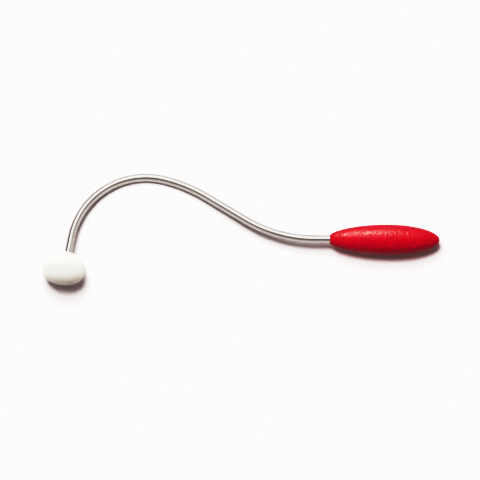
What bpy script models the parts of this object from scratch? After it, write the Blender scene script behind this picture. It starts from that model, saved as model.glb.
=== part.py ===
"""Hooked hand massager: a spindle grip on an S-bent steel bar that ends in a blunt soft head.

The tool is designed flat. In the design frame the origin is the centre of the grip's mouth, +X runs
along the grip to its free end, +Y points to the crest of the bend, and +Z is square to the bend's plane.
An empty then lays that frame on a table, where the tool rests on its grip, its head and its crest.
"""

import math

import bmesh
import bpy
from mathutils import Matrix, Vector

MM = 0.001
OBJECT_NAME = "hooked_massager"

# Clearance kept between touching pieces
GAP = 0.3 * MM

# Steel bar: one straight, a gentle bend one way, a straight, then two bends the other way over the crest
BAR_RADIUS = 4.0 * MM
BAR_SIDES = 20
BAR_CHAMFER = 0.7 * MM
TANG_LENGTH = 70.0 * MM
RUN_TO_DIP = 15.9 * MM
DIP_RADIUS = 135.7 * MM
DIP_ANGLE = 30.63
RUN_TO_CREST = 45.2 * MM
SHOULDER_RADIUS = 151.8 * MM
SHOULDER_ANGLE = 17.54
HOOK_RADIUS = 75.85 * MM
HOOK_ANGLE = 92.38
RUN_TO_HEAD = 13.6 * MM
BAR_IN_HEAD = 19.5 * MM
BEND_STEP = 3.0

# Grip: a spindle of two half ellipses that meet at its belly, with a thin lip round the bar
GRIP_RADIUS = 15.2 * MM
BELLY_TO_TIP = 50.0 * MM
BELLY_TO_MOUTH = 59.4 * MM
MOUTH_HALF_LENGTH = 62.7 * MM
COVER_WALL = 2.6 * MM
TIP_WALL = 4.5 * MM
CORE_FRONT = 50.0 * MM
GRIP_STEPS = 40
GRIP_RINGS = 14
CORE_STEPS = 28
CORE_RINGS = 8

# Slotted spring pin across the tang and the core
PIN_RADIUS = 1.5 * MM
PIN_WALL = 0.35 * MM
PIN_LENGTH = 23.0 * MM
PIN_STATION = 46.0 * MM
PIN_ARC = 325.0
PIN_STEPS = 16

# Head: an egg of revolution, pointed towards the bar and blunt at its free side
HEAD_RADIUS = 21.65 * MM
HEAD_TO_NECK = 17.4 * MM
HEAD_TO_CROWN = 16.6 * MM
NECK_FULLNESS = 1.64
CROWN_FULLNESS = 2.37
HEAD_CENTRE = Vector((-265.7, -31.7, 0.0)) * MM
HEAD_TILT = 4.0
HEAD_STEPS = 40
HEAD_RINGS = 12

# Bush that the head is moulded on, pushed over the bar's end
INSERT_RADIUS = 7.0 * MM
INSERT_GROOVE_RADIUS = 6.0 * MM
INSERT_FLANGE_RADIUS = 9.0 * MM
INSERT_DEPTH = 7.5 * MM
INSERT_LENGTH = 16.0 * MM
INSERT_RIB = 2.5 * MM
INSERT_STEPS = 24


def polar(angle):
    """Unit vector in the bend's plane at an angle from +X, in radians."""
    return Vector((math.cos(angle), math.sin(angle), 0.0))


def quarter(steps):
    """Angles from 0 to a quarter turn in equal steps."""
    return [math.pi / 2 * i / steps for i in range(steps + 1)]


def collection(name):
    """A new collection in the scene."""
    group = bpy.data.collections.new(name)
    bpy.context.scene.collection.children.link(group)
    return group


def material(name, colour, roughness, metallic=0.0):
    """A Principled material with one colour, roughness and metallic value."""
    made = bpy.data.materials.new(name)
    made.use_nodes = True
    shader = made.node_tree.nodes["Principled BSDF"]
    shader.inputs["Base Color"].default_value = (*colour, 1.0)
    shader.inputs["Roughness"].default_value = roughness
    shader.inputs["Metallic"].default_value = metallic
    return made


def add(name, mesh, group, frame, surface=None):
    """Put a mesh in a collection as a named object under the frame's empty."""
    thing = bpy.data.objects.new(name, mesh)
    group.objects.link(thing)
    thing.parent = frame
    if surface:
        mesh.materials.append(surface)
    return thing


def stand_on(thing, foot, direction):
    """Place a thing so that its own Z axis starts at foot and points along direction."""
    turn = Vector((0.0, 0.0, 1.0)).rotation_difference(direction)
    thing.matrix_basis = Matrix.Translation(foot) @ turn.to_matrix().to_4x4()


def outline_mesh(name, outline):
    """An open chain of edges through (radius, height) points, in the plane Y = 0."""
    mesh = bpy.data.meshes.new(name)
    shape = bmesh.new()
    points = [shape.verts.new((radius, 0.0, height)) for radius, height in outline]
    for start, end in zip(points, points[1:]):
        shape.edges.new((start, end))
    shape.to_mesh(mesh)
    shape.free()
    return mesh


def turned(name, outline, steps, group, frame, surface=None, degrees=360.0):
    """Turn an outline about its own Z axis with a Screw modifier."""
    thing = add(name, outline_mesh(name, outline), group, frame, surface)
    screw = thing.modifiers.new("turn", "SCREW")
    screw.angle = math.radians(degrees)
    screw.steps = steps
    screw.render_steps = steps
    screw.use_merge_vertices = True
    screw.merge_threshold = 0.00001
    return thing


def cut(thing, cutter):
    """Take a cutter's shape out of a thing, and mark the cutter as a guide."""
    boolean = thing.modifiers.new("cut", "BOOLEAN")
    boolean.operation = "DIFFERENCE"
    boolean.solver = "EXACT"
    boolean.object = cutter
    cutter.hide_render = True
    cutter.display_type = "WIRE"


def bar_route():
    """Centreline of the bar from its tang end to its end in the head, and its last direction."""
    heading = math.pi
    points = [Vector((TANG_LENGTH, 0.0, 0.0)), Vector((0.0, 0.0, 0.0))]
    points.append(points[-1] + polar(heading) * RUN_TO_DIP)
    heading = bend(points, heading, DIP_RADIUS, -DIP_ANGLE)
    points.append(points[-1] + polar(heading) * RUN_TO_CREST)
    heading = bend(points, heading, SHOULDER_RADIUS, SHOULDER_ANGLE)
    heading = bend(points, heading, HOOK_RADIUS, HOOK_ANGLE)
    points.append(points[-1] + polar(heading) * RUN_TO_HEAD)
    points.append(points[-1] + polar(heading) * BAR_IN_HEAD)
    return points, polar(heading)


def bend(points, heading, radius, degrees):
    """Carry a route round an arc, to the left for positive degrees, and return the new heading."""
    turn = math.radians(degrees)
    square = math.copysign(math.pi / 2, turn)
    centre = points[-1] + polar(heading + square) * radius
    count = math.ceil(abs(degrees) / BEND_STEP)
    for i in range(1, count + 1):
        points.append(centre + polar(heading + turn * i / count - square) * radius)
    return heading + turn


def spindle(belly, to_tip, half_length, cut_at, steps):
    """Side of a spindle from its tip, past its belly at height 0, to a cut near its mouth."""
    side = [(belly * math.sin(a), to_tip * math.cos(a)) for a in quarter(steps)]
    last = math.asin(cut_at / half_length)
    for i in range(1, steps + 1):
        angle = last * i / steps
        side.append((belly * math.cos(angle), -half_length * math.sin(angle)))
    return side


def egg(steps):
    """Side of the head from its neck pole, past its widest level at height 0, to its crown pole."""
    neck, crown = 2 / NECK_FULLNESS, 2 / CROWN_FULLNESS
    upper = [
        (HEAD_RADIUS * math.sin(a) ** neck, HEAD_TO_NECK * math.cos(a) ** neck)
        for a in quarter(steps)[:-1]
    ]
    lower = [
        (HEAD_RADIUS * math.cos(a) ** crown, -HEAD_TO_CROWN * math.sin(a) ** crown)
        for a in quarter(steps)[:-1]
    ]
    return upper + lower + [(0.0, -HEAD_TO_CROWN)]


def make_shaft(group, cutters, frame, surface):
    """The bent bar: round, chamfered at both ends and cross-drilled for the pin."""
    route, _ = bar_route()
    first = (route[1] - route[0]).normalized() * BAR_CHAMFER
    last = (route[-1] - route[-2]).normalized() * BAR_CHAMFER
    stations = [route[0], route[0] + first, *route[1:-1], route[-1] - last, route[-1]]
    curve = bpy.data.curves.new("bar_route", "CURVE")
    curve.dimensions = "3D"
    curve.bevel_depth = BAR_RADIUS
    curve.bevel_resolution = (BAR_SIDES - 4) // 2
    curve.use_fill_caps = True
    line = curve.splines.new("POLY")
    line.points.add(len(stations) - 1)
    for point, station in zip(line.points, stations):
        point.co = (*station, 1.0)
    for end in (line.points[0], line.points[-1]):
        end.radius = 1 - BAR_CHAMFER / BAR_RADIUS
    guide = bpy.data.objects.new("bar_route", curve)
    group.objects.link(guide)
    shaft = add("shaft", solid_from_curve(guide), group, frame, surface)
    cut(shaft, pin_hole("pin_hole_in_shaft", cutters, frame))
    return shaft


def solid_from_curve(guide):
    """A closed, smooth-shaded mesh of a bevelled curve, which is then removed."""
    evaluated = guide.evaluated_get(bpy.context.evaluated_depsgraph_get())
    mesh = bpy.data.meshes.new_from_object(evaluated)
    shape = bmesh.new()
    shape.from_mesh(mesh)
    bmesh.ops.remove_doubles(shape, verts=shape.verts, dist=0.00001)
    shape.to_mesh(mesh)
    shape.free()
    mesh.shade_smooth()
    mesh.set_sharp_from_angle(angle=math.radians(40))
    bpy.data.objects.remove(guide)
    return mesh


def pin_hole(name, cutters, frame):
    """Cutter for the pin's hole, square to the bend's plane and longer than the grip is thick."""
    mesh = bpy.data.meshes.new(name)
    shape = bmesh.new()
    bmesh.ops.create_cone(
        shape,
        cap_ends=True,
        segments=PIN_STEPS,
        radius1=PIN_RADIUS + GAP,
        radius2=PIN_RADIUS + GAP,
        depth=2.5 * GRIP_RADIUS,
    )
    shape.to_mesh(mesh)
    shape.free()
    hole = add(name, mesh, cutters, frame)
    hole.location = (PIN_STATION, 0.0, 0.0)
    return hole


def make_grip(group, frame, surface):
    """The red cover: a spindle moulded round the core, closed at its tip and open at its mouth."""
    bore = BAR_RADIUS + GAP
    outer = spindle(GRIP_RADIUS, BELLY_TO_TIP, MOUTH_HALF_LENGTH, BELLY_TO_MOUTH, GRIP_RINGS)
    hollow = spindle(
        GRIP_RADIUS - COVER_WALL,
        BELLY_TO_TIP - TIP_WALL,
        MOUTH_HALF_LENGTH - TIP_WALL,
        CORE_FRONT + GAP,
        CORE_RINGS,
    )
    throat = [(bore, -BELLY_TO_MOUTH), (bore, -CORE_FRONT - GAP)]
    grip = turned("grip", outer + throat + hollow[::-1], GRIP_STEPS, group, frame, surface)
    stand_on(grip, Vector((BELLY_TO_MOUTH, 0.0, 0.0)), Vector((1.0, 0.0, 0.0)))
    return grip


def make_core(group, cutters, frame, surface):
    """The rigid core in the grip: bored for the tang and cross-drilled for the pin."""
    bore = BAR_RADIUS + GAP
    bore_end = TANG_LENGTH + 2 * GAP - BELLY_TO_MOUTH
    outline = spindle(
        GRIP_RADIUS - COVER_WALL - GAP,
        BELLY_TO_TIP - TIP_WALL - GAP,
        MOUTH_HALF_LENGTH - TIP_WALL - GAP,
        CORE_FRONT,
        CORE_RINGS,
    )
    outline += [(bore, -CORE_FRONT), (bore, bore_end), (0.0, bore_end)]
    core = turned("grip_core", outline, CORE_STEPS, group, frame, surface)
    stand_on(core, Vector((BELLY_TO_MOUTH, 0.0, 0.0)), Vector((1.0, 0.0, 0.0)))
    cut(core, pin_hole("pin_hole_in_core", cutters, frame))
    return core


def make_pin(group, frame, surface):
    """The slotted spring pin: a rolled strip of steel, open along one side."""
    middle = PIN_RADIUS - PIN_WALL / 2
    outline = [(middle, PIN_LENGTH / 2), (middle, -PIN_LENGTH / 2)]
    pin = turned("spring_pin", outline, PIN_STEPS, group, frame, surface, PIN_ARC)
    wall = pin.modifiers.new("wall", "SOLIDIFY")
    wall.thickness = PIN_WALL
    wall.offset = 0.0
    pin.location = (PIN_STATION, 0.0, 0.0)
    return pin


def head_axis():
    """Direction from the head's crown to its neck, tilted a little towards the grip."""
    return polar(math.radians(90 - HEAD_TILT))


def insert_mouth():
    """Centre of the insert's open end, and the direction in which it opens."""
    route, heading = bar_route()
    return route[-2] + heading * INSERT_DEPTH, -heading


def make_insert(group, frame, surface):
    """The bush in the head: a blind bore, ribs that key into the soft head, and a flange at its end."""
    bore = BAR_RADIUS + GAP
    bore_end = INSERT_DEPTH - BAR_IN_HEAD - 2 * GAP
    outline = [(0.0, bore_end), (bore, bore_end), (bore, 0.0), (INSERT_RADIUS, 0.0)]
    for i in range(2):
        top = -INSERT_RIB * (2 * i + 1)
        outline += [(INSERT_RADIUS, top), (INSERT_GROOVE_RADIUS, top)]
        outline += [(INSERT_GROOVE_RADIUS, top - INSERT_RIB), (INSERT_RADIUS, top - INSERT_RIB)]
    flange_top = -INSERT_LENGTH + INSERT_RIB
    outline += [(INSERT_RADIUS, flange_top), (INSERT_FLANGE_RADIUS, flange_top)]
    outline += [(INSERT_FLANGE_RADIUS, -INSERT_LENGTH), (0.0, -INSERT_LENGTH)]
    insert = turned("head_insert", outline, INSERT_STEPS, group, frame, surface)
    stand_on(insert, *insert_mouth())
    return insert


def make_head(group, cutters, frame, surface):
    """The soft head: an egg of revolution, hollowed for the insert and open where the bar goes in."""
    head = turned("head", egg(HEAD_RINGS), HEAD_STEPS, group, frame, surface)
    stand_on(head, HEAD_CENTRE, head_axis())
    neck, body, flange = BAR_RADIUS + GAP, INSERT_RADIUS + GAP, INSERT_FLANGE_RADIUS + GAP
    flange_top = -INSERT_LENGTH + INSERT_RIB + GAP
    hollow = [(0.0, 2 * INSERT_DEPTH), (neck, 2 * INSERT_DEPTH), (neck, GAP), (body, GAP)]
    hollow += [(body, flange_top), (flange, flange_top)]
    hollow += [(flange, -INSERT_LENGTH - GAP), (0.0, -INSERT_LENGTH - GAP)]
    cutter = turned("insert_hollow", hollow, INSERT_STEPS, cutters, frame)
    stand_on(cutter, *insert_mouth())
    cut(head, cutter)
    return head


def head_reach(lean):
    """How far the head reaches along a direction that leans from square to its axis to the neck."""
    power = NECK_FULLNESS / (NECK_FULLNESS - 1)
    across = (HEAD_RADIUS * math.cos(lean)) ** power
    along = (HEAD_TO_NECK * math.sin(lean)) ** power
    return (across + along) ** (1 / power)


def resting_angles():
    """Roll about the grip and pitch that bring the grip, the crest and the head to one level."""
    crest = max(bar_route()[0], key=lambda point: point.y)
    crest_arm, head_arm = BELLY_TO_MOUTH - crest.x, BELLY_TO_MOUTH - HEAD_CENTRE.x
    roll, pitch = 0.0, 0.0
    for _ in range(8):
        crest_drop = GRIP_RADIUS - BAR_RADIUS + pitch * crest_arm
        roll = math.asin(crest_drop / crest.y)
        head_height = GRIP_RADIUS - math.sin(roll) * HEAD_CENTRE.y
        pitch = (head_reach(roll) - head_height) / head_arm
    return roll, pitch


def lay_on_table(frame, group):
    """Turn the frame to its rest, then set its box on the floor with its middle over the origin."""
    roll, pitch = resting_angles()
    frame.matrix_world = Matrix.Rotation(pitch, 4, "Y") @ Matrix.Rotation(-roll, 4, "X")
    graph = bpy.context.evaluated_depsgraph_get()
    corners = []
    for thing in group.objects:
        solid = thing.evaluated_get(graph)
        corners += [solid.matrix_world @ vertex.co for vertex in solid.data.vertices]
    low = Vector(min(point[i] for point in corners) for i in range(3))
    high = Vector(max(point[i] for point in corners) for i in range(3))
    frame.location = (-(low.x + high.x) / 2, -(low.y + high.y) / 2, -low.z)


def main():
    """Clear the scene and build the tool."""
    for old in list(bpy.data.objects):
        bpy.data.objects.remove(old)
    group = collection(OBJECT_NAME)
    cutters = collection("cutters")
    frame = bpy.data.objects.new("table_pose", None)
    bpy.context.scene.collection.objects.link(frame)
    steel = material("satin_steel", (0.60, 0.58, 0.56), 0.28, 1.0)
    spring_steel = material("spring_steel", (0.28, 0.28, 0.29), 0.4, 1.0)
    brass = material("brass", (0.72, 0.52, 0.22), 0.35, 1.0)
    red = material("red_cover", (0.70, 0.003, 0.018), 0.38)
    grey = material("grey_core", (0.12, 0.12, 0.13), 0.6)
    white = material("white_rubber", (0.84, 0.83, 0.78), 0.42)
    make_shaft(group, cutters, frame, steel)
    make_grip(group, frame, red)
    make_core(group, cutters, frame, grey)
    make_pin(group, frame, spring_steel)
    make_insert(group, frame, brass)
    make_head(group, cutters, frame, white)
    lay_on_table(frame, group)


main()
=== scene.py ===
"""Hooked hand massager on a pale floor, seen from straight above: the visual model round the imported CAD.

Three detailed pieces take the place of the bar, the grip and the head. They are built in the design
frame of the part: origin in the centre of the grip's mouth, +X along the grip to its free end, +Y to the
crest of the bend and +Z square to the bend's plane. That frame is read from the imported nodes.
"""

import math

import bpy
import numpy as np
from mathutils import Matrix, Vector, noise


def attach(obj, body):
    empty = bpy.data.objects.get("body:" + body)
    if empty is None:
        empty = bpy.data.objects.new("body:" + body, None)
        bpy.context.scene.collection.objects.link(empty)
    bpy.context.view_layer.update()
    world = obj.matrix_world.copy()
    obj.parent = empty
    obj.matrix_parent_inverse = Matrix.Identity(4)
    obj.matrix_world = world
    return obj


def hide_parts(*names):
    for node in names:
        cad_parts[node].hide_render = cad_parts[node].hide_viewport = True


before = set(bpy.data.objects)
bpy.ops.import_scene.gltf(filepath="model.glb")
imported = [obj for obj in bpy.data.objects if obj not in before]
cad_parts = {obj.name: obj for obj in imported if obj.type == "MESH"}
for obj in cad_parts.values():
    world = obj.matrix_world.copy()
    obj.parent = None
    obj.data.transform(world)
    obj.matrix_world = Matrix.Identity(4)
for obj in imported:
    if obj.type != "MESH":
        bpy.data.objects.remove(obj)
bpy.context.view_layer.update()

MM = 0.001

# Steel bar, as in the CAD: straight in the grip, a gentle dip, a straight, then two bends over the crest
BAR_RADIUS = 4.0 * MM
BAR_CHAMFER = 0.7 * MM
TANG_LENGTH = 70.0 * MM
RUN_TO_DIP = 15.9 * MM
DIP_RADIUS = 135.7 * MM
DIP_ANGLE = 30.63
RUN_TO_CREST = 45.2 * MM
SHOULDER_RADIUS = 151.8 * MM
SHOULDER_ANGLE = 17.54
HOOK_RADIUS = 75.85 * MM
HOOK_ANGLE = 92.38
RUN_TO_HEAD = 13.6 * MM
BAR_IN_HEAD = 19.5 * MM
BAR_SIDES = 64
BAR_STEP = 1.6 * MM

# Grip, as in the CAD: a spindle of two half ellipses that meet at its belly, here with a rounded lip
GRIP_RADIUS = 15.2 * MM
BELLY_TO_TIP = 50.0 * MM
BELLY_TO_MOUTH = 59.4 * MM
MOUTH_HALF_LENGTH = 62.7 * MM
MOUTH_TAPER = 0.66 * MM
TAPER_LENGTH = 3.5 * MM
BORE_RADIUS = 4.15 * MM
BORE_DEPTHS = (1.0 * MM, 2.5 * MM, 5.0 * MM, 9.4 * MM)
GRIP_SIDES = 200
TIP_STEPS = 114
MOUTH_STEPS = 119
LIP_STEPS = 8

# Grain moulded in the grip, sunk a little under the plain spindle and fading out towards the mouth. Once
# round the grip is one loop through the ripple's noise, with its half axes given in cells of the noise
RIPPLE_RATE = 0.60 / MM
RIPPLE_LOOP_Y = 1.9
RIPPLE_LOOP_Z = 1.6
RIPPLE_HEIGHT = 0.20 * MM
SPECKLE_RATE = 0.55 / MM
SPECKLE_HEIGHT = 0.22 * MM
GRAIN_SINK = 0.17 * MM
GRAIN_START = 1.5 * MM
GRAIN_FADE = 6.0 * MM
BORE_MARGIN = 1.05

# Head, as in the CAD: an egg of revolution, pointed towards the bar and blunt at its free side
HEAD_RADIUS = 21.65 * MM
HEAD_TO_NECK = 17.4 * MM
HEAD_TO_CROWN = 16.6 * MM
NECK_FULLNESS = 1.64
CROWN_FULLNESS = 2.37
HEAD_CENTRE = Vector((-265.7, -31.7, 0.0)) * MM
HEAD_TILT = 4.0
HEAD_SIDES = 160
HEAD_STEPS = 56

# Colours: each material drifts between two shades
STEEL_SHADES = ((0.468, 0.454, 0.445), (0.508, 0.496, 0.486))
STEEL_EDGE = (0.60, 0.60, 0.60, 1.0)
RED_SHADES = ((0.425, 0.0, 0.040), (0.515, 0.0, 0.031))
WHITE_SHADES = ((0.735, 0.745, 0.690), (0.755, 0.765, 0.715))
CORE_SHADES = ((0.09, 0.09, 0.10), (0.14, 0.14, 0.15))
PIN_SHADES = ((0.24, 0.24, 0.25), (0.34, 0.33, 0.33))
BRASS_SHADES = ((0.66, 0.46, 0.18), (0.76, 0.56, 0.26))
FLOOR_SHADE = (0.93, 0.93, 0.93, 1.0)

# Nearly all of a noise texture's values lie between these two
NOISE_LOW = 0.3
NOISE_HIGH = 0.7

# The colour sockets of Blender's Mix node
MIX_ONE = 6
MIX_TWO = 7
MIX_RESULT = 2

# Camera: straight down, turned a little, over a point near the middle of the tool
FIELD = 0.4798
CAMERA_HEIGHT = 1.6
CAMERA_TURN = 0.487
CAMERA_AIM = (-1.07 * MM, -9.32 * MM)

# Film: how bright each level of scene light comes out, with deep shades and a white a little below full
FILM_WHITE = 0.973
FILM_CURVE = (
    (0.1, 0.03),
    (0.2, 0.08),
    (0.3, 0.18),
    (0.4, 0.36),
    (0.5, 0.57),
    (0.6, 0.73),
    (0.7, 0.825),
    (0.85, 0.89),
    (0.95, 0.945),
)

# Studio: a sun, and three square panels with a direction, distance, side and power each
FLOOR_HALF = 6.0
KEY_TOWARDS = (-0.13, 0.36, 1.0)
KEY_DISTANCE = 1.0
KEY_ANGLE = 18.0
KEY_STRENGTH = 1.80
FILL_TOWARDS = (-0.12, 0.52, 0.848)
FILL_DISTANCE = 3.0
FILL_SIZE = 1.4
FILL_POWER = 46.0
ROOM_TOWARDS = (0.0, 0.0, 1.0)
ROOM_DISTANCE = 2.4
ROOM_SIZE = 8.0
ROOM_POWER = 60.0
ROOM_COLOUR = (1.0, 0.78, 0.77)
STRIP_TOWARDS = (-0.23, 0.83, 0.505)
STRIP_DISTANCE = 3.0
STRIP_SIZE = 1.5
STRIP_POWER = 570.0
STRIP_COLOUR = (1.0, 0.95, 0.78)

# What gloss mirrors: a pale sky, and patches of (direction, inner and outer angle, colour), each laid over
# the ones before. They are bright at the back, a little dimmer at the right, dark at the left and low at
# the back left, a little dimmer at the front, dim in three that overlap overhead, and white from below
SKY = (1.00, 0.98, 0.96)
PATCHES = (
    ((-0.15, 0.69, 0.70), 5.0, 46.0, (1.93, 1.89, 1.85)),
    ((0.50, 0.10, 0.86), 5.0, 30.0, (0.88, 0.85, 0.83)),
    ((-0.95, 0.28, 0.10), 12.0, 40.0, (0.22, 0.21, 0.20)),
    ((-0.62, 0.78, -0.05), 8.0, 32.0, (0.42, 0.40, 0.38)),
    ((0.0, -0.62, 0.78), 5.0, 30.0, (0.84, 0.80, 0.78)),
    ((0.0, -0.23, 0.973), 7.0, 32.0, (0.47, 0.43, 0.41)),
    ((-0.27, -0.12, 0.955), 5.0, 24.0, (0.47, 0.43, 0.41)),
    ((0.26, -0.06, 0.964), 5.0, 25.0, (0.47, 0.43, 0.41)),
    ((0.0, 0.0, -1.0), 70.0, 88.0, (1.20, 1.20, 1.20)),
)


# ---------------------------------------------------------------- frame


def mesh_points(name):
    """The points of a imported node, as rows of an array."""
    return np.array([v.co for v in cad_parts[name].data.vertices])


def spread_axes(points):
    """The directions in which points spread, from the least to the most."""
    _, axes = np.linalg.eigh(np.cov(points.T))
    return [Vector(axis) for axis in axes.T]


def design_frame():
    """The part's design frame in the row frame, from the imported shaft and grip."""
    grip = mesh_points("grip")
    normal = spread_axes(mesh_points("shaft"))[0]
    if normal.z < 0:
        normal.negate()
    along = spread_axes(grip)[-1]
    middle = Vector((grip.min(0) + grip.max(0)) / 2)
    if along.dot(middle) < 0:
        along.negate()
    along = (along - normal * along.dot(normal)).normalized()
    across = normal.cross(along)
    reach = grip @ np.array(along)
    centre = Vector(grip.mean(0))
    mouth = centre + along * (float(reach.min()) - centre.dot(along))
    turn = Matrix((along, across, normal)).transposed().to_4x4()
    return Matrix.Translation(mouth) @ turn


def polar(angle):
    """Unit vector in the bend's plane at an angle from +X, in radians."""
    return Vector((math.cos(angle), math.sin(angle), 0.0))


def divided(whole, count):
    """Values from 0 to a whole in equal steps, both ends included."""
    return [whole * i / count for i in range(count + 1)]


# ---------------------------------------------------------------- meshes


def lathe(profile, sides):
    """Rings of points of a profile of (radius, height) turned about Z; a radius of 0 makes a pole."""
    points, rings = [], []
    for radius, height in profile:
        if radius <= 0:
            rings.append([len(points)])
            points.append(Vector((0.0, 0.0, height)))
            continue
        rings.append(list(range(len(points), len(points) + sides)))
        for angle in divided(2 * math.pi, sides)[:-1]:
            points.append(Vector((radius * math.cos(angle), radius * math.sin(angle), height)))
    return points, rings


def skin(rings):
    """Faces between neighbouring rings, with triangles round a pole."""
    faces = []
    for one, two in zip(rings, rings[1:]):
        count = max(len(one), len(two))
        for k in range(count):
            n = (k + 1) % count
            if len(one) == 1:
                faces.append((one[0], two[k], two[n]))
            elif len(two) == 1:
                faces.append((one[n], one[k], two[0]))
            else:
                faces.append((one[k], two[k], two[n], one[n]))
    return faces


def piece(name, points, faces, material, node, attributes):
    """A smooth mesh object that stands for a CAD node, with named vector attributes on its points."""
    mesh = bpy.data.meshes.new(name)
    mesh.from_pydata([tuple(p) for p in points], [], faces)
    mesh.validate()
    for label, values in attributes.items():
        made = mesh.attributes.new(label, "FLOAT_VECTOR", "POINT")
        made.data.foreach_set("vector", np.array([tuple(v) for v in values], np.float32).ravel())
    mesh.shade_smooth()
    mesh.materials.append(material)
    thing = bpy.data.objects.new(name, mesh)
    bpy.context.scene.collection.objects.link(thing)
    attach(thing, "root")
    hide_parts(node)
    return thing


# ---------------------------------------------------------------- bar


def bar_route():
    """Centreline of the bar, in the design frame, in short steps from the tang's end to the head."""
    heading = math.pi
    points = [Vector((TANG_LENGTH, 0.0, 0.0))]
    run(points, heading, TANG_LENGTH + RUN_TO_DIP)
    heading = bend(points, heading, DIP_RADIUS, -DIP_ANGLE)
    run(points, heading, RUN_TO_CREST)
    heading = bend(points, heading, SHOULDER_RADIUS, SHOULDER_ANGLE)
    heading = bend(points, heading, HOOK_RADIUS, HOOK_ANGLE)
    run(points, heading, RUN_TO_HEAD + BAR_IN_HEAD)
    return points


def run(points, heading, length):
    """Carry a route straight on."""
    start = points[-1].copy()
    for distance in divided(length, math.ceil(length / BAR_STEP))[1:]:
        points.append(start + polar(heading) * distance)


def bend(points, heading, radius, degrees):
    """Carry a route round an arc, to the left for positive degrees, and return the new heading."""
    turn = math.radians(degrees)
    square = math.copysign(math.pi / 2, turn)
    centre = points[-1] + polar(heading + square) * radius
    for turned in divided(turn, math.ceil(radius * abs(turn) / BAR_STEP))[1:]:
        points.append(centre + polar(heading + turned - square) * radius)
    return heading + turn


def bar_stations():
    """(point, direction, radius, distance) along the bar, with a chamfer at each end."""
    points = bar_route()
    stations = []
    travelled = 0.0
    for i, point in enumerate(points):
        before = points[max(i - 1, 0)]
        after = points[min(i + 1, len(points) - 1)]
        travelled += (point - before).length
        stations.append((point, (after - before).normalized(), BAR_RADIUS, travelled))
    start = chamfer(stations[0], 1)
    end = chamfer(stations[-1], -1)
    return start + stations[1:-1] + end[::-1]


def chamfer(station, inwards):
    """A bar's end face at a station, and the station where its chamfer reaches full width."""
    point, direction, radius, distance = station
    step = BAR_CHAMFER * inwards
    face = (point, direction, radius - BAR_CHAMFER, distance)
    full = (point + direction * step, direction, radius, distance + step)
    return [face, full]


def make_bar(place, material):
    """The bar as a tube along its stations, closed by a pole at each end."""
    points, unrolled, rings = [], [], []
    up = Vector((0.0, 0.0, 1.0))
    stations = bar_stations()
    for point, direction, radius, distance in stations:
        side = up.cross(direction)
        rings.append(list(range(len(points), len(points) + BAR_SIDES)))
        for angle in divided(2 * math.pi, BAR_SIDES)[:-1]:
            points.append(point + (side * math.cos(angle) + up * math.sin(angle)) * radius)
            unrolled.append((distance, radius * math.cos(angle), radius * math.sin(angle)))
    for at, (point, _, _, distance) in ((0, stations[0]), (len(rings) + 1, stations[-1])):
        rings.insert(at, [len(points)])
        points.append(point)
        unrolled.append((distance, 0.0, 0.0))
    faces = [face[::-1] for face in skin(rings)]
    world = [place @ p for p in points]
    return piece("steel_bar", world, faces, material, "shaft", {"unrolled": unrolled})


# ---------------------------------------------------------------- grip


def grip_profile():
    """(radius, height) from the tip round the mouth's lip and down the bore, height from the mouth."""
    side = [(0.0, BELLY_TO_MOUTH + BELLY_TO_TIP)]
    for a in divided(math.pi / 2, TIP_STEPS)[1:]:
        side.append((GRIP_RADIUS * math.sin(a), BELLY_TO_MOUTH + BELLY_TO_TIP * math.cos(a)))
    for a in divided(math.asin(BELLY_TO_MOUTH / MOUTH_HALF_LENGTH), MOUTH_STEPS)[1:]:
        height = BELLY_TO_MOUTH - MOUTH_HALF_LENGTH * math.sin(a)
        taper = MOUTH_TAPER * max(0.0, 1 - height / TAPER_LENGTH) ** 2
        side.append((GRIP_RADIUS * math.cos(a) - taper, height))
    lip, _ = side.pop()
    middle = (lip + BORE_RADIUS) / 2
    rounding = (lip - BORE_RADIUS) / 2
    for a in divided(math.pi, LIP_STEPS):
        side.append((middle + rounding * math.cos(a), rounding * (1 - math.sin(a))))
    for depth in BORE_DEPTHS:
        side.append((BORE_RADIUS, depth))
    return side


def grip_relief(point):
    """Height of the moulded grain at a point on the grip, in the design frame."""
    around = math.atan2(point.z, point.y)
    loop_y = RIPPLE_LOOP_Y * math.cos(around)
    loop_z = RIPPLE_LOOP_Z * math.sin(around)
    ripple = noise.noise(Vector((point.x * RIPPLE_RATE, loop_y, loop_z)))
    speckle = noise.noise(point * SPECKLE_RATE)
    fade = min(1.0, max(0.0, (point.x - GRAIN_START) / GRAIN_FADE))
    return (RIPPLE_HEIGHT * ripple + SPECKLE_HEIGHT * speckle - GRAIN_SINK) * fade


def grained(point):
    """A point of the plain grip moved in or out by the grain, except in the bore and close to the tip."""
    out = Vector((0.0, point.y, point.z))
    if out.length <= BORE_RADIUS * BORE_MARGIN:
        return point
    return point + out.normalized() * grip_relief(point)


def make_grip(place, material):
    """The grip, turned about its length and grained."""
    points, rings = lathe(grip_profile(), GRIP_SIDES)
    stand = Matrix.Rotation(math.radians(90), 4, "Y")
    local = [stand @ p for p in points]
    world = [place @ grained(p) for p in local]
    return piece("red_grip", world, skin(rings), material, "grip", {"own": local})


# ---------------------------------------------------------------- head


def head_profile():
    """(radius, height) from the neck to the crown, a slim quarter ellipse and then a full one."""
    neck, crown = 2 / NECK_FULLNESS, 2 / CROWN_FULLNESS
    quarter = divided(math.pi / 2, HEAD_STEPS)[:-1]
    side = []
    for a in quarter:
        side.append((HEAD_RADIUS * math.sin(a) ** neck, HEAD_TO_NECK * math.cos(a) ** neck))
    for a in quarter:
        side.append((HEAD_RADIUS * math.cos(a) ** crown, -HEAD_TO_CROWN * math.sin(a) ** crown))
    side.append((0.0, -HEAD_TO_CROWN))
    return side


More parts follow.
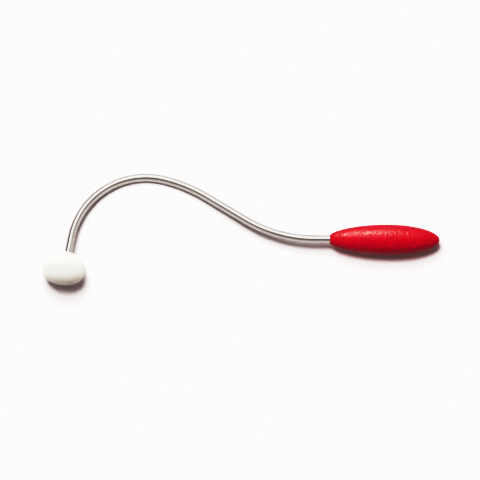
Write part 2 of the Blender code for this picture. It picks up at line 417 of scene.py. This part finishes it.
def make_head(place, material):
    """The head, turned about its own axis and set on the bar's end."""
    points, rings = lathe(head_profile(), HEAD_SIDES)
    axis = polar(math.radians(90 - HEAD_TILT))
    stand = Matrix.Translation(HEAD_CENTRE) @ axis.to_track_quat("Z", "Y").to_matrix().to_4x4()
    world = [place @ (stand @ p) for p in points]
    return piece("white_head", world, skin(rings), material, "head", {"own": points})


# ---------------------------------------------------------------- materials


class Nodes:
    """Short calls for building the node tree of a material or a world."""

    def __init__(self, owner, shader):
        owner.use_nodes = True
        self.owner = owner
        self.tree = owner.node_tree
        self.shader = self.tree.nodes[shader]

    def add(self, kind, **settings):
        """A new node with its settings."""
        node = self.tree.nodes.new(kind)
        for label, value in settings.items():
            setattr(node, label, value)
        return node

    def link(self, source, target):
        """Lead a node's output to another's input."""
        self.tree.links.new(source, target)

    def feed(self, label, source):
        """Lead a node's output to the shader."""
        self.link(source, self.shader.inputs[label])

    def set(self, **values):
        """Constant values on the shader's sockets."""
        for label, value in values.items():
            self.shader.inputs[label.replace("_", " ")].default_value = value

    def attribute(self, name):
        """A vector that the mesh carries on its points."""
        return self.add("ShaderNodeAttribute", attribute_name=name).outputs["Vector"]

    def scaled(self, vector, scale):
        """A vector with its three parts scaled."""
        node = self.add("ShaderNodeVectorMath", operation="MULTIPLY")
        self.link(vector, node.inputs[0])
        node.inputs[1].default_value = scale
        return node.outputs[0]

    def noise(self, vector, scale=1.0, detail=2.0, roughness=0.55):
        """Soft noise."""
        node = self.add("ShaderNodeTexNoise")
        self.link(vector, node.inputs["Vector"])
        node.inputs["Scale"].default_value = scale
        node.inputs["Detail"].default_value = detail
        node.inputs["Roughness"].default_value = roughness
        return node.outputs["Fac"]

    def spread(self, value, low, high):
        """A noise value stretched to run from low to high."""
        node = self.add("ShaderNodeMapRange")
        self.link(value, node.inputs["Value"])
        limits = {"From Min": NOISE_LOW, "From Max": NOISE_HIGH, "To Min": low, "To Max": high}
        for label, limit in limits.items():
            node.inputs[label].default_value = limit
        return node.outputs["Result"]

    def mix(self, factor, one, two):
        """From one to two, each of them a colour or a node's output."""
        node = self.add("ShaderNodeMix", data_type="RGBA")
        self.link(factor, node.inputs["Factor"])
        for socket, colour in ((node.inputs[MIX_ONE], one), (node.inputs[MIX_TWO], two)):
            if isinstance(colour, tuple):
                socket.default_value = (*colour, 1.0)
            else:
                self.link(colour, socket)
        return node.outputs[MIX_RESULT]

    def drift(self, value, shades):
        """A colour that follows a noise value from one shade to the other."""
        return self.mix(self.spread(value, 0.0, 1.0), *shades)

    def bump(self, height, distance, strength, before=None):
        """A bumped normal, on top of another if one is given."""
        node = self.add("ShaderNodeBump")
        self.link(height, node.inputs["Height"])
        node.inputs["Distance"].default_value = distance
        node.inputs["Strength"].default_value = strength
        if before is not None:
            self.link(before, node.inputs["Normal"])
        return node.outputs["Normal"]


def surface(name):
    """The node tree of a new material."""
    return Nodes(bpy.data.materials.new(name), "Principled BSDF")


def steel():
    """Polished stainless bar: fine drawn lines along it and a slow change in sheen."""
    n = surface("satin_steel")
    unrolled = n.attribute("unrolled")
    lines = n.noise(n.scaled(unrolled, (30.0, 4200.0, 4200.0)), detail=4.0)
    cloud = n.noise(n.scaled(unrolled, (60.0, 160.0, 160.0)))
    n.set(Metallic=1.0, Specular_Tint=STEEL_EDGE)
    n.feed("Base Color", n.drift(cloud, STEEL_SHADES))
    n.feed("Roughness", n.spread(lines, 0.13, 0.20))
    n.feed("Normal", n.bump(lines, distance=0.004 * MM, strength=0.6))
    return n.owner


def red_cover():
    """Deep red cover: a satin skin with a fine moulded grain and finer pores."""
    n = surface("red_cover")
    own = n.attribute("own")
    cloud = n.noise(own, scale=320.0, detail=4.0)
    grain = n.noise(n.scaled(own, (760.0, 520.0, 520.0)), detail=4.0, roughness=0.6)
    pores = n.noise(own, scale=2600.0)
    n.set(Specular_IOR_Level=0.12)
    n.feed("Base Color", n.drift(cloud, RED_SHADES))
    n.feed("Roughness", n.spread(grain, 0.31, 0.43))
    fine = n.bump(pores, distance=0.03 * MM, strength=0.35)
    n.feed("Normal", n.bump(grain, distance=0.20 * MM, strength=0.7, before=fine))
    return n.owner


def white_rubber():
    """Off-white moulded head: satin, with a faint orange peel and a slight drift in its warmth."""
    n = surface("white_rubber")
    own = n.attribute("own")
    cloud = n.noise(own, scale=60.0, detail=3.0)
    peel = n.noise(own, scale=900.0)
    n.set(Specular_IOR_Level=0.4, Diffuse_Roughness=1.0)
    n.set(Subsurface_Weight=0.3, Subsurface_Scale=0.006, Subsurface_Radius=(1.0, 0.9, 0.8))
    n.feed("Base Color", n.drift(cloud, WHITE_SHADES))
    n.feed("Roughness", n.spread(peel, 0.30, 0.38))
    n.feed("Normal", n.bump(peel, distance=0.03 * MM, strength=0.25))
    return n.owner


def hidden_finish(name, shades, roughness, metallic, scale):
    """A machined or moulded finish for a piece inside the grip or the head."""
    n = surface(name)
    cloud = n.noise(n.add("ShaderNodeTexCoord").outputs["Object"], scale=scale, detail=4.0)
    n.set(Metallic=metallic)
    n.feed("Base Color", n.drift(cloud, shades))
    n.feed("Roughness", n.spread(cloud, roughness - 0.06, roughness + 0.06))
    n.feed("Normal", n.bump(cloud, distance=0.05 * MM, strength=0.3))
    return n.owner


def finish_node(name, material):
    """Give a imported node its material."""
    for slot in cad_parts[name].material_slots:
        slot.material = material


# ---------------------------------------------------------------- studio


def make_floor():
    """A plain pale floor at the height that the tool lies on."""
    h = FLOOR_HALF
    mesh = bpy.data.meshes.new("floor")
    mesh.from_pydata([(-h, -h, 0), (h, -h, 0), (h, h, 0), (-h, h, 0)], [], [(0, 1, 2, 3)])
    floor = bpy.data.objects.new("floor", mesh)
    bpy.context.scene.collection.objects.link(floor)
    n = surface("pale_floor")
    n.set(Base_Color=FLOOR_SHADE, Roughness=0.9, Specular_IOR_Level=0.0)
    mesh.materials.append(n.owner)


def sky_patch(n, direction, towards, inner, outer):
    """1 within the inner angle of a direction, falling smoothly to 0 at the outer one."""
    dot = n.add("ShaderNodeVectorMath", operation="DOT_PRODUCT")
    n.link(direction, dot.inputs[0])
    dot.inputs[1].default_value = Vector(towards).normalized()
    fall = n.add("ShaderNodeMapRange", interpolation_type="SMOOTHSTEP")
    n.link(dot.outputs["Value"], fall.inputs["Value"])
    fall.inputs["From Min"].default_value = math.cos(math.radians(outer))
    fall.inputs["From Max"].default_value = math.cos(math.radians(inner))
    return fall.outputs["Result"]


def make_world():
    """Surroundings that give no diffuse light: a pale sky with soft bright and dim patches over it."""
    n = Nodes(bpy.data.worlds.new("studio"), "Background")
    bpy.context.scene.world = n.owner
    direction = n.add("ShaderNodeTexCoord").outputs["Generated"]
    sky = SKY
    for towards, inner, outer, colour in PATCHES:
        sky = n.mix(sky_patch(n, direction, towards, inner, outer), sky, colour)
    n.feed("Color", sky)
    n.owner.cycles_visibility.diffuse = False


def make_lights(grip):
    """A sun that gives the shadows, two panels that soften them, and a strip of gloss on the grip."""
    sun = bpy.data.lights.new("key", "SUN")
    sun.angle = math.radians(KEY_ANGLE)
    sun.energy = KEY_STRENGTH
    key = hang(sun, KEY_TOWARDS, KEY_DISTANCE)
    fill = panel("fill", FILL_TOWARDS, FILL_DISTANCE, FILL_SIZE, FILL_POWER)
    room = panel("room", ROOM_TOWARDS, ROOM_DISTANCE, ROOM_SIZE, ROOM_POWER)
    room.data.color = ROOM_COLOUR
    for lamp in (key, fill, room):
        lamp.visible_glossy = False
    strip = panel("strip", STRIP_TOWARDS, STRIP_DISTANCE, STRIP_SIZE, STRIP_POWER)
    strip.data.color = STRIP_COLOUR
    strip.visible_diffuse = False
    strip.light_linking.receiver_collection = bpy.data.collections.new("strip_receivers")
    strip.light_linking.receiver_collection.objects.link(grip)


def panel(name, towards, distance, size, power):
    """A square area lamp that faces the tool."""
    area = bpy.data.lights.new(name, "AREA")
    area.size = size
    area.energy = power
    return hang(area, towards, distance)


def hang(data, towards, distance):
    """Put a lamp in a direction from the tool, facing it and out of the camera's sight."""
    lamp = bpy.data.objects.new(data.name, data)
    lamp.location = Vector(towards).normalized() * distance
    lamp.rotation_euler = Vector(towards).to_track_quat("Z", "Y").to_euler()
    lamp.visible_camera = False
    bpy.context.scene.collection.objects.link(lamp)
    return lamp


def make_camera():
    """A camera without perspective that looks straight down."""
    data = bpy.data.cameras.new("camera")
    data.type = "ORTHO"
    data.ortho_scale = FIELD
    camera = bpy.data.objects.new("camera", data)
    camera.location = (*CAMERA_AIM, CAMERA_HEIGHT)
    camera.rotation_euler = (0.0, 0.0, math.radians(CAMERA_TURN))
    bpy.context.scene.collection.objects.link(camera)
    bpy.context.scene.camera = camera


def make_film():
    """A print-like contrast curve for all three colours together, flat beyond its ends."""
    view = bpy.context.scene.view_settings
    view.view_transform = "Standard"
    view.use_curve_mapping = True
    combined = view.curve_mapping.curves[3]
    combined.points[0].location = (0.0, 0.0)
    combined.points[1].location = (1.0, FILM_WHITE)
    for light, brightness in FILM_CURVE:
        combined.points.new(light, brightness)
    view.curve_mapping.extend = "HORIZONTAL"
    view.curve_mapping.update()


place = design_frame()
make_bar(place, steel())
grip = make_grip(place, red_cover())
make_head(place, white_rubber())
finish_node("grip_core", hidden_finish("grey_core", CORE_SHADES, roughness=0.6, metallic=0.0, scale=300.0))
finish_node("spring_pin", hidden_finish("spring_steel", PIN_SHADES, roughness=0.4, metallic=1.0, scale=900.0))
finish_node("head_insert", hidden_finish("brass", BRASS_SHADES, roughness=0.35, metallic=1.0, scale=700.0))
make_floor()
make_world()
make_lights(grip)
make_camera()
make_film()
